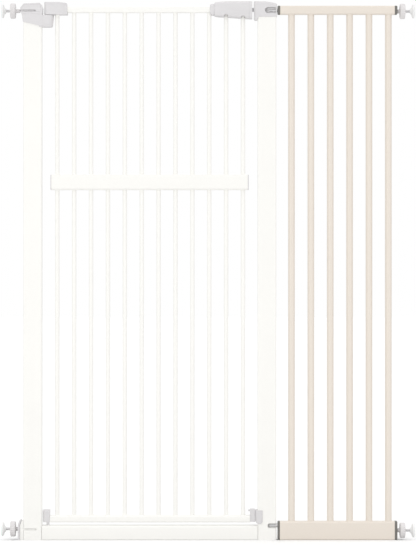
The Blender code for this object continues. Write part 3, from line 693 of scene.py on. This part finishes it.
def rail_ring(low, high, inset_by=0.0, top_radius=4.0, low_radius=4.0):
    half = high.y - inset_by
    radii = [max(r - inset_by, 0.6) for r in (low_radius, low_radius, top_radius, top_radius)]
    return rounded(rectangle(-half, half, low.z + inset_by, high.z - inset_by), radii, 10)


def add_panel_rails():
    low, high = span("panel_top_rail")
    shape = tube("X", rail_ring(low, high), rail_ring(low, high, WALL), low.x, high.x, 0.1)
    show("top_rail_tube", "panel_beige", "frame", [shape], ["panel_top_rail"])
    low, high = span("panel_bottom_rail")
    low.x = LOW_CAP_END + GAP
    outer, inner = rail_ring(low, high, 0, SHOULDER), rail_ring(low, high, WALL, SHOULDER)
    shape = tube("X", outer, inner, low.x, high.x, 0.1)
    show("bottom_rail_tube", "panel_beige", "frame", [shape], ["panel_bottom_rail"])


def ring_path(x, y, z, radius, points=56, dip=None):
    """A closed circle round a bar; dip(y) lowers it where it lies over a rail's shoulder."""
    path = []
    for step in range(points):
        t = 2 * math.pi * step / points
        py = y + radius * math.sin(t)
        path.append((x + radius * math.cos(t), py, z - (dip(py) if dip else 0)))
    return path


def shoulder(half, radius):
    """How far a rail's rounded top has dropped at a distance from its middle."""

    def drop(y):
        over = abs(y) - (half - radius)
        return radius - math.sqrt(max(radius**2 - over**2, 0.0)) if over > 0 else 0.0

    return drop


def add_panel_bars():
    half = span("panel_bottom_rail")[1].y
    welds = []
    names = sorted(node for node in frame["nodes"] if node.startswith("panel_bar_"))
    for node in names:
        low, high = span(node)
        centre = middle(node)
        radius = high.x - centre.x
        outer = circle(centre.x, 0, radius, BAR_SIDES + 8)
        inner = circle(centre.x, 0, radius - BAR_WALL, BAR_SIDES + 8)
        shape = tube("Z", outer, inner, low.z - 2.6, high.z + 0.2, 0.05)
        show(node.replace("bar", "upright"), "panel_beige", "frame", [shape], [node])
        foot = ring_path(centre.x, 0, low.z - GAP, radius, dip=shoulder(half, SHOULDER))
        welds.append(bead(foot, 0.7))
        welds.append(bead(ring_path(centre.x, 0, high.z + GAP, radius), 0.6))
    show("panel_welds", "panel_beige", "frame", welds)


def add_panel_caps():
    for node, plug_x, hole_node, hole_radius in (
        ("panel_cap_top_left", 1, "connector_bolt_top", STUD_HOLE),
        ("panel_cap_bottom_left", 1, "connector_bolt_bottom", STUD_HOLE),
        ("panel_cap_top_right", -1, "right_top_rod", ROD_HOLE),
        ("panel_cap_bottom_right", -1, "right_bottom_rod", ROD_HOLE),
    ):
        low, high = span(node)
        rail = span("panel_top_rail" if "top" in node else "panel_bottom_rail")
        z = middle(hole_node).z
        inside = rail[0].x if plug_x > 0 else rail[1].x
        if node == "panel_cap_bottom_left":
            inside = LOW_CAP_END + GAP
        face = low.x if plug_x > 0 else high.x
        plate_end = inside - plug_x * GAP
        shoulder_radius = 4.0 if "top" in node else SHOULDER
        ring = rounded(
            rectangle(low.y, high.y, low.z, high.z),
            [4.0, 4.0, shoulder_radius, shoulder_radius],
        )
        rings = []
        for share, back in ((0.0, 1.4), (0.35, 0.6), (0.8, 0.15), (1.4, 0.0)):
            scaled = [
                (
                    y * (1 - back / high.y),
                    low.z + (z1 - low.z) * (1 - 2 * back / (high.z - low.z)) + back,
                )
                for y, z1 in ring
            ]
            rings.append([(face + plug_x * share, y, z1) for y, z1 in scaled])
        rings.append([(plate_end, y, z1) for y, z1 in ring])
        tongue = rounded(
            rectangle(low.y + 1.3, high.y - 1.3, low.z + 1.3, high.z - 1.3),
            [2.7, 2.7, shoulder_radius - 1.3, shoulder_radius - 1.3],
        )
        tip = low.x if plug_x < 0 else high.x
        plug = prism("X", tongue, *sorted((plate_end - plug_x * 0.5, tip)))
        hole = rod_shape("X", 0, z, hole_radius, low.x - 5, high.x + 5, 48)
        groove = tube(
            "X",
            rounded(rectangle(low.y + 2.6, high.y - 2.6, low.z + 2.6, high.z - 2.6), 3.2),
            rounded(rectangle(low.y + 3.2, high.y - 3.2, low.z + 3.2, high.z - 3.2), 2.6),
            *sorted((face - plug_x * 2, face + plug_x * 0.4)),
            0.01,
        )
        show(
            node.replace("cap", "end"), "dark_grey_plastic", "frame", [loft(rings)], [node],
            joins=[[plug]],
            late_cuts=[[hole], [groove]],
        )


def add_connectors():
    for node in ("connector_bolt_top", "connector_bolt_bottom"):
        low, high = span(node)
        z = middle(node).z
        radius = (high.z - low.z) / 2
        left, right = low.x, high.x
        profile = [
            (left, 0.001),
            (left, 0.4 * radius),
            (left + 0.5, 0.55 * radius),
            (left + 2, 0.84 * radius),
            (left + 4.5, radius),
            (left + 8.0, radius),
            (left + 8.4, radius - 0.5),
            (left + 9.2, radius - 0.5),
            (left + 9.6, radius),
            (right - 1, radius),
            (right, radius - 1),
            (right, 0.001),
        ]
        show(node.replace("bolt", "stud"), "zinc_steel", "frame", [turned("X", (0, z), profile)], [node])


# ---- door ----


def add_door_bars():
    welds = []
    mid = span("door_mid_rail")
    bottom = span("door_bottom_rail")
    for index in range(12):
        node = f"door_bar_{index + 1:02d}"
        low, high = span(node)
        x = middle(node).x
        radius = high.x - x
        outer, inner = (circle(x, 0, r, BAR_SIDES) for r in (radius, radius - BAR_WALL))
        shape = tube("Z", outer, inner, low.z, high.z + 0.2, 0.05)
        show(node.replace("bar", "spindle"), "gate_white", "door", [shape], [node])
        foot = ring_path(x, 0, low.z - GAP, radius, 44, shoulder(bottom[1].y, 5.0))
        welds.append(bead(foot, 0.6))
        if 0 < index < 9:  # the others end inside the hinge housing or the handle
            welds.append(bead(ring_path(x, 0, high.z + GAP, radius, 44), 0.5))
    for index in range(12):
        node = f"door_bar_{index + 1:02d}"
        x = middle(node).x
        for z, drop in ((mid[1].z, shoulder(mid[1].y, 3.0)), (mid[0].z, shoulder(mid[1].y, 7.0))):
            sign = 1 if z == mid[1].z else -1
            path = ring_path(x, 0, 0, 6.25, 44, drop)
            welds.append(bead([(px, py, z + sign * pz) for px, py, pz in path], 0.55))
    show("door_welds", "gate_white", "door", welds)


def door_rail(node, name, radii, steps=CORNER_STEPS, cuts=()):
    low, high = span(node)
    shape = tube("X", *tube_outlines(low, high, radii, steps), low.x, high.x, 0.1)
    show(name, "gate_white", "door", [shape], [node], late_cuts=cuts)


def add_door_rails():
    high = span("door_top_rail")[1]
    slider = middle("thumb_slider")
    way = block(slider.x - 18, high.x + 5, -3.3, 3.3, high.z - 4, high.z + 5)
    peg_hole = rod_shape("Y", PEG_X, PEG_Z, 2.8, -15, 15, 32)
    door_rail("door_top_rail", "top_bar", [2.5] * 4, cuts=[[way], [peg_hole]])
    door_rail("door_mid_rail", "middle_bar", [7, 7, 3, 3], 10)
    door_rail("door_bottom_rail", "bottom_bar", [5] * 4)


def add_plugs():
    for node, side in (("mid_rail_plug_left", 1), ("mid_rail_plug_right", -1)):
        low, high = span(node)
        face = low.x if side > 0 else high.x
        rings = []
        for along, back in ((0.0, 1.2), (0.3, 0.5), (0.8, 0.1), (1.3, 0.0), (2.2, 0.0)):
            plate = rectangle(low.y + back, high.y - back, low.z + back, high.z - back)
            rings.append([(face + side * along, y, z) for y, z in rounded(plate, [6.8, 6.8, 3, 3])])
        tongue = rectangle(low.y + 1.2, high.y - 1.2, low.z + 1.2, high.z - 1.2)
        tip = high.x if side > 0 else low.x
        start = face + side * 1.8
        plug = prism("X", rounded(tongue, [5.6, 5.6, 1.8, 1.8]), *sorted((start, tip)))
        name = node.replace("plug", "stopper")
        show(name, "light_grey_plastic", "door", [loft(rings)], [node], joins=[[plug]])


def add_housing():
    low, high = span("hinge_housing")
    top = 1496.9
    front = [
        (low.x - 3, low.z),
        (-393.4, low.z),
        (-390.8, low.z),
        (-393.0, 1494.0),
        (-415.7, top),
        (low.x - 3, top),
    ]
    plan = rounded(rectangle(low.x, -390.6, low.y, high.y), [10, 3, 3, 10], 12)
    rail = span("door_top_rail")
    half, roof = rail[1].y + GAP, rail[1].z + GAP
    body = prism("Z", plan, low.z, top + 1)
    profile = prism("Y", rounded(front, [0, 0, 1, 1.5, 6, 0]), -20, 20)
    made = new_object("housing_blank", [body])
    change(made, "INTERSECT", [profile])
    ease_edges(made, 1.6, 4, 45)
    blank = made.data
    bpy.data.objects.remove(made)
    points = [tuple(v.co / MM) for v in blank.vertices]
    shape = (points, [list(face.vertices) for face in blank.polygons])
    room = block(rail[0].x - GAP, high.x + 9, -half, half, rail[0].z - GAP, roof)
    bar = middle("door_bar_01").x
    lines = []
    for side in SIDES:
        lines.append(face_line(side, 12.5, 15, -447, -380, 1490.4, 1491.0))
        lines.append(face_line(side, 12.5, 15, -400.6, -400.0, 1450, 1490.4))
    show(
        "hinge_shell", "light_grey_plastic", "door", [shape], ["hinge_housing"],
        late_cuts=[
            [room],
            [rod_shape("Z", bar, 0, 6.4, low.z - 5, rail[0].z + 1, 48)],
            [pin_hole(low.z - 5, 1485.5)],
        ]
        + lines,
    )


def handle_rings():
    """Slices along the handle: a slim rounded end, a collar step, a long swell and a grooved face."""
    stations = [
        (5.6, 1466.4, 1487.0, 10.6), (5.9, 1464.6, 1488.8, 12.0),
        (6.8, 1462.9, 1490.4, 13.2), (8.4, 1461.7, 1491.5, 14.1),
        (10.0, 1461.2, 1491.9, 14.5), (16.6, 1460.3, 1492.6, 14.8),
        (16.9, 1461.1, 1491.8, 14.1), (17.7, 1461.1, 1491.8, 14.1),
        (18.0, 1459.2, 1494.8, 15.7), (18.9, 1458.4, 1495.9, 16.3),
        (22.0, 1457.8, 1496.7, 16.6), (28.0, 1456.9, 1497.4, 16.8),
        (36.0, 1456.2, 1498.2, 17.0), (46.0, 1455.6, 1499.0, 17.0),
        (56.0, 1455.1, 1499.5, 17.0), (66.0, 1454.5, 1499.6, 17.0),
        (80.0, 1453.4, 1499.6, 17.0), (96.0, 1452.2, 1499.6, 17.0),
        (114.4, 1451.2, 1499.6, 17.0), (114.7, 1451.9, 1498.9, 16.3),
        (115.5, 1451.9, 1498.9, 16.3), (115.8, 1451.1, 1499.6, 17.0),
        (121.2, 1450.8, 1499.6, 17.0), (122.4, 1451.2, 1499.2, 16.6),
        (123.0, 1452.0, 1498.4, 15.8), (123.1, 1452.6, 1497.8, 15.2),
    ]
    return [section(x, z0, z1, half, [5, 5, 7.5, 7.5], 9) for x, z0, z1, half in stations]


def handle_ways(side):
    """What the handle's halves leave free: the rail, the bolt, the slider's slot and the bars."""
    rail = span("door_top_rail")
    bolt_low, bolt_high = span("latch_bolt")
    slider_low, slider_high = span("thumb_slider")
    slider = (slider_low.x + slider_high.x) / 2
    half, roof = rail[1].y + GAP, rail[1].z + GAP
    end = rail[1].x + GAP
    ways = [
        [block(0, end, -half, half, rail[0].z - GAP, roof)],
        [block(end - 0.5, 130, -5.3, 5.3, bolt_low.z - GAP, bolt_high.z + GAP)],
        [block(slider - 17, slider + 4, -3.3, 3.3, roof - 1, 1494.5)],
        [block(slider_low.x - 13.8, slider_high.x + 0.8, -8.3, 8.3, 1493.6, 1510)],
    ]
    for index in (10, 11, 12):
        x = middle(f"door_bar_{index:02d}").x
        ways.append([rod_shape("Z", x, 0, 6.5, 1440, rail[0].z + 1, 48)])
        if side < 0 and index > 10:
            top = 1462.5 - (index - 11) * 4.0
            window = rounded(rectangle(x - 5.2, x + 5.2, 1440, top), [0, 0, 4, 4])
            ways.append([prism("Y", window, -25, -3)])
    return ways


SCREW_PLACES = ((30.0, 1463.6), (76.0, 1489.6), (110.0, 1461.0))
SCREW_SEAT_Y = 15.4


def add_handle():
    screws = []
    for name, side in (("handle_front", -1), ("handle_back", 1)):
        far = sorted((-side * 25, side * GAP / 2))
        late = [[block(-20, 150, *far, 1430, 1520)]] + handle_ways(side)
        if side > 0:
            for x, z in SCREW_PLACES:
                late.append([rod_shape("Y", x, z, 3.7, SCREW_SEAT_Y, 25, 40)])
                screws.append(screw_head(x, z, SCREW_SEAT_Y))
        peg = rod_shape("Y", PEG_X, PEG_Z, 2.4, *sorted((side * 0.6, side * 10.3)), 32)
        show(
            name.replace("handle", "grip"),
            "light_grey_plastic",
            "door",
            [loft(handle_rings())],
            [name],
            late_cuts=late,
        )
        show(name.replace("handle", "peg"), "light_grey_plastic", "door", [peg])
    return screws


def screw_head(x, z, y):
    """A pan head screw with a cross recess, its head towards the back."""
    shank = [(y - 4, 0.001), (y - 4, 1.5), (y, 1.5)]
    head = [(y, 3.4), (y + 0.5, 3.4), (y + 0.95, 2.7), (y + 1.15, 1.5), (y + 1.2, 0.001)]
    return turned("Y", (x, z), shank + head, 40), (x, z, y)


def add_screws(screws):
    for index, (head, (x, z, y)) in enumerate(screws):
        cross = [
            block(x - 1.7, x + 1.7, y + 0.4, y + 3, z - 0.35, z + 0.35),
            block(x - 0.35, x + 0.35, y + 0.4, y + 3, z - 1.7, z + 1.7),
        ]
        show(f"handle_screw_{index + 1}", "zinc_steel", "door", [head], late_cuts=[[c] for c in cross])


def add_lower_fittings():
    low, high = span("lower_hinge_block")
    rail_low, rail_high = span("door_bottom_rail")
    inset_by = WALL + 0.15
    depths = rail_low.y + inset_by, rail_high.y - inset_by
    spigot = rounded(rectangle(*depths, rail_low.z + inset_by, rail_high.z - inset_by), 3.8)
    left = rounded(rectangle(low.x, -440.0, -10, 10), [8, 1.5, 1.5, 8], 10)
    body = prism("Z", left, low.z, high.z)
    pin = pin_hole(44, 78)
    lines = [
        face_line(side, 9.6, 12, low.x - 1, -444, z, z + 0.6) for side in SIDES for z in (72.0, 76.0)
    ]
    show(
        "hinge_foot", "light_grey_plastic", "door", [body], ["lower_hinge_block"],
        ease=(1.3, 4, 50),
        late_cuts=[[pin]] + lines,
    )
    show("hinge_foot_spigot", "light_grey_plastic", "door", [prism("X", spigot, -441, -426)])

    low, high = span("lower_latch_block")
    corners = rectangle(117.0, 132.3, 50, high.z)
    body = prism("Y", rounded(corners, [3, 3, 4, 2.5]), -10, 10)
    nose = block(131, high.x, -4, 4, 75.6, 82.5)
    button = block(112, 118, -3, 3, 79, 84)
    lines = [[groove_round(corners, 2.4, 0.6, 2, side * 10, 0.4)] for side in SIDES]
    show(
        "latch_foot", "light_grey_plastic", "door", [body], ["lower_latch_block"],
        joins=[[nose], [button]],
        ease=(0.9, 3, 50),
        late_cuts=lines,
    )
    show("latch_foot_spigot", "light_grey_plastic", "door", [prism("X", spigot, 103, 118)])


def add_latch():
    low, high = span("latch_bolt")
    corners = rectangle(low.x, high.x, low.z, high.z)
    slider = middle("thumb_slider")
    body = prism("Y", rounded(corners, [0.5, 3, 3, 0.5]), low.y, high.y)
    hole = block(slider.x - 2.7, slider.x + 2.7, -2.8, 2.8, 1474.7, high.z + 5)
    show(
        "sliding_bolt", "zinc_steel", "latch", [body], ["latch_bolt"],
        ease=(0.5, 3, 50),
        late_cuts=[[hole]],
    )

    low, high = span("thumb_slider")
    outline = [(low.x, 1494.2), (high.x, 1494.2), (high.x, high.z), (low.x, high.z - 1.2)]
    button = prism("Y", rounded(outline, [0.3, 0.3, 1.5, 1.5]), low.y, high.y)
    ribs = [
        [block(x, x + 1.0, low.y + 1.6, high.y - 1.6, high.z - 1.5, high.z + 3)]
        for x in range(96, 108, 2)
    ]
    stem = block(slider.x - 2.4, slider.x + 2.4, -2.5, 2.5, low.z, 1495)
    show(
        "thumb_button", "wheel_grey_plastic", "latch", [button], ["thumb_slider"],
        ease=(0.7, 3, 50),
        late_cuts=ribs,
    )
    show("thumb_stem", "wheel_grey_plastic", "latch", [stem])

    low, high = span("latch_spring")
    centre = middle("latch_spring")
    wire, radius, turns, steps = 0.6, (high.z - low.z) / 2 - 0.6, 6, 28
    rings = []
    for step in range(turns * steps + 1):
        angle = 2 * math.pi * step / steps
        x = low.x + wire + (high.x - low.x - 2 * wire) * step / (turns * steps)
        ring = []
        for corner in range(10):
            tilt = 2 * math.pi * corner / 10
            reach = radius + wire * math.cos(tilt)
            y, z = reach * math.sin(angle), centre.z + reach * math.cos(angle)
            ring.append((x + wire * math.sin(tilt), y, z))
        rings.append(ring)
    spring = show("return_spring", "zinc_steel", "latch", [loft(rings)], ["latch_spring"])
    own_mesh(spring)


def add_pins():
    for node in ("upper_hinge_pin", "lower_hinge_pin"):
        low, high = span(node)
        radius = 4.0
        profile = [
            (low.z, 0.001),
            (low.z, radius - 1.2),
            (low.z + 1.5, radius),
            (high.z - 0.5, radius),
            (high.z, radius - 0.5),
            (high.z, 0.001),
        ]
        shape = turned("Z", (HINGE_X, 0), profile)
        show(node.replace("pin", "pivot"), "zinc_steel", "hinge_pins", [shape], [node])


# ---- wall spindles ----


def threaded(z, radius, low, high):
    """A core with a helical ridge of the thread's pitch round it, both along X."""
    root = radius - THREAD_DEPTH
    core = [
        (low, 0.001),
        (low, root - 0.8),
        (low + 0.8, root),
        (high - 0.8, root),
        (high, root - 0.8),
        (high, 0.001),
    ]
    steps = 26
    turns = (high - low - 2.4) / THREAD_PITCH
    rings = []
    for step in range(int(turns * steps) + 1):
        t = 2 * math.pi * step / steps
        x = low + 1.2 + THREAD_PITCH * step / steps
        grow = min(1.0, step / steps, (turns * steps - step) / steps)
        flat, base = THREAD_PITCH * 0.07, THREAD_PITCH * 0.46
        crest = root + (THREAD_DEPTH - 0.02) * max(grow, 0.05)
        ring = []
        for offset, r in ((-base, root - 0.05), (-flat, crest), (flat, crest), (base, root - 0.05)):
            ring.append((x + offset, r * math.cos(t), z + r * math.sin(t)))
        rings.append(ring)
    return [turned("X", (0, z), core, 48), loft(rings)]


def add_spindles():
    for name in SPINDLES:
        side = -1 if name.startswith("left") else 1
        low, high = span(f"{name}_rod")
        z = middle(f"{name}_rod").z
        show(
            f"{name}_screw",
            "zinc_steel",
            f"{name}_spindle",
            threaded(z, 4.0, low.x, high.x),
            [f"{name}_rod"],
            smooth=35,
        )
        low, high = span(f"{name}_pad")
        face = low.x if side < 0 else high.x
        rim = (high.z - low.z) / 2
        stations = [
            (0.6, 0.001), (0.6, 4.0), (0.0, 4.6), (0.0, 7.4), (0.7, 8.0), (0.7, 9.0),
            (0.0, 9.6), (0.0, 12.4), (0.7, 13.0), (0.7, 14.0), (0.0, 14.6), (0.0, rim - 1.6),
            (0.25, rim - 0.8), (0.8, rim - 0.25), (1.6, rim), (4.2, rim), (4.8, rim - 0.3),
            (5.6, rim - 1.3), (6.5, 16.6), (7.3, 13.0), (8.0, 10.2), (9.0, 8.8), (11.4, 7.6),
            (12.0, 7.1), (12.0, 4.35), (3.0, 4.35), (3.0, 0.001),
        ]
        profile = [(face - side * along, r) for along, r in stations]
        show(
            f"{name}_wall_pad",
            "pad_white",
            f"{name}_spindle",
            [turned("X", (0, z), profile, 72)],
            [f"{name}_pad"],
            smooth=30,
        )
        add_wheel(name, side, z)


def add_wheel(name, side, z):
    low, high = span(f"{name}_wheel")
    hub = high.x if side < 0 else low.x
    far = low.x if side < 0 else high.x
    inner = -535.0 if side < 0 else 533.5
    rim = high.y - 0.05
    stations = [
        (hub, 4.15),
        (hub, 5.1),
        (hub + side * 0.4, 5.5),
        (inner - side * 0.4, 5.6),
        (inner, 6.2),
        (inner + side * 0.1, 8.6),
        (inner + side * 0.6, 9.6),
        (inner + side * 0.9, 16.8),
        (inner + side * 1.2, rim - 2.2),
        (inner + side * 1.7, rim - 1.0),
        (inner + side * 2.4, rim - 0.25),
        (inner + side * 3.4, rim),
        (far - side * 3.4, rim),
        (far - side * 2.4, rim - 0.25),
        (far - side * 1.6, rim - 1.1),
        (far - side * 1.1, rim - 2.6),
        (far - side * 0.8, rim - 7.4),
        (far - side * 0.4, 10.8),
        (far, 8.6),
        (far, 7.0),
        (far - side * 0.6, 6.4),
        (far - side * 0.6, 4.6),
        (far - side * 0.2, 4.15),
    ]
    flutes = 22

    def ripple(angle, radius):
        if radius < rim - 3:
            return radius
        wave = abs(math.cos(angle * flutes / 2)) ** 0.6
        return radius - 0.9 * (1 - wave)

    body = turned("X", (0, z), stations, flutes * 12, ring=True, ripple=ripple)
    show(f"{name}_knob", "wheel_grey_plastic", f"{name}_nut", [body], [f"{name}_wheel"], smooth=30)


# ---- light, floor and camera ----


def add_light(name, place, aim, size, power):
    lamp = bpy.data.lights.new(name, "AREA")
    lamp.shape = "SQUARE"
    lamp.size = size
    lamp.energy = power
    holder = put_in_scene(name, lamp)
    holder.location = place
    holder.rotation_euler = (Vector(aim) - Vector(place)).to_track_quat("-Z", "Y").to_euler()


def by_ray(tree, seen, cast, output):
    """Shows the camera one shader and every other ray the other."""
    path = tree.nodes.new("ShaderNodeLightPath")
    blend = tree.nodes.new("ShaderNodeMixShader")
    out = tree.nodes.new(output)
    tree.links.new(path.outputs["Is Camera Ray"], blend.inputs[0])
    tree.links.new(cast.outputs[0], blend.inputs[1])
    tree.links.new(seen.outputs[0], blend.inputs[2])
    tree.links.new(blend.outputs[0], out.inputs["Surface"])


def add_studio():
    world = bpy.data.worlds.new("studio")
    bpy.context.scene.world = world
    world.use_nodes = True
    tree = world.node_tree
    tree.nodes.clear()
    seen = tree.nodes.new("ShaderNodeBackground")
    seen.inputs["Color"].default_value = (1.0, 1.0, 1.0, 1.0)
    soft = tree.nodes.new("ShaderNodeBackground")
    soft.inputs["Color"].default_value = (1.0, 1.0, 1.0, 1.0)
    soft.inputs["Strength"].default_value = 0.66
    by_ray(tree, seen, soft, "ShaderNodeOutputWorld")
    add_light("key", (-2.5, -4.4, 1.25), (0, 0, 0.6), 2.4, 39.0)
    add_light("fill", (3.2, -4.2, 1.1), (0, 0, 0.6), 2.2, 26.0)
    sky = bpy.data.lights.new("sky", "SUN")
    sky.energy = 1.3
    sky.angle = math.radians(110)
    put_in_scene("sky", sky)


def add_floor():
    half = 30.0
    mesh = bpy.data.meshes.new("floor")
    corners = [(x, y, 0) for x, y in rectangle(-half, half, -half, half)]
    mesh.from_pydata(corners, [], [[0, 1, 2, 3]])
    floor = put_in_scene("floor", mesh)
    material = bpy.data.materials.new("studio_floor")
    material.use_nodes = True
    tree = material.node_tree
    tree.nodes.clear()
    seen = tree.nodes.new("ShaderNodeBsdfDiffuse")
    seen.inputs["Color"].default_value = srgb(252, 252, 252)
    bounce = tree.nodes.new("ShaderNodeBsdfDiffuse")
    bounce.inputs["Color"].default_value = srgb(226, 226, 226)
    by_ray(tree, seen, bounce, "ShaderNodeOutputMaterial")
    mesh.materials.append(material)


CAMERA_PLACE = (0.0, -6.0, 0.743)
LENS, SENSOR_WIDTH = 186.3, 36.0


def add_camera():
    data = bpy.data.cameras.new("camera")
    data.sensor_fit = "HORIZONTAL"
    data.sensor_width = SENSOR_WIDTH
    data.lens = LENS
    camera = put_in_scene("camera", data)
    camera.location = CAMERA_PLACE
    camera.rotation_euler = (math.radians(90), 0, 0)
    bpy.context.scene.camera = camera
    bpy.context.scene.view_settings.view_transform = "Standard"


def main():
    add_posts()
    add_liners()
    add_sill()
    add_hinge_cap()
    add_latch_cap()
    add_keeper()
    add_corner()
    add_panel_rails()
    add_panel_bars()
    add_panel_caps()
    add_connectors()
    add_door_bars()
    add_door_rails()
    add_plugs()
    add_housing()
    screws = add_handle()
    add_screws(screws)
    add_lower_fittings()
    add_latch()
    add_pins()
    add_spindles()
    add_studio()
    add_floor()
    add_camera()


main()
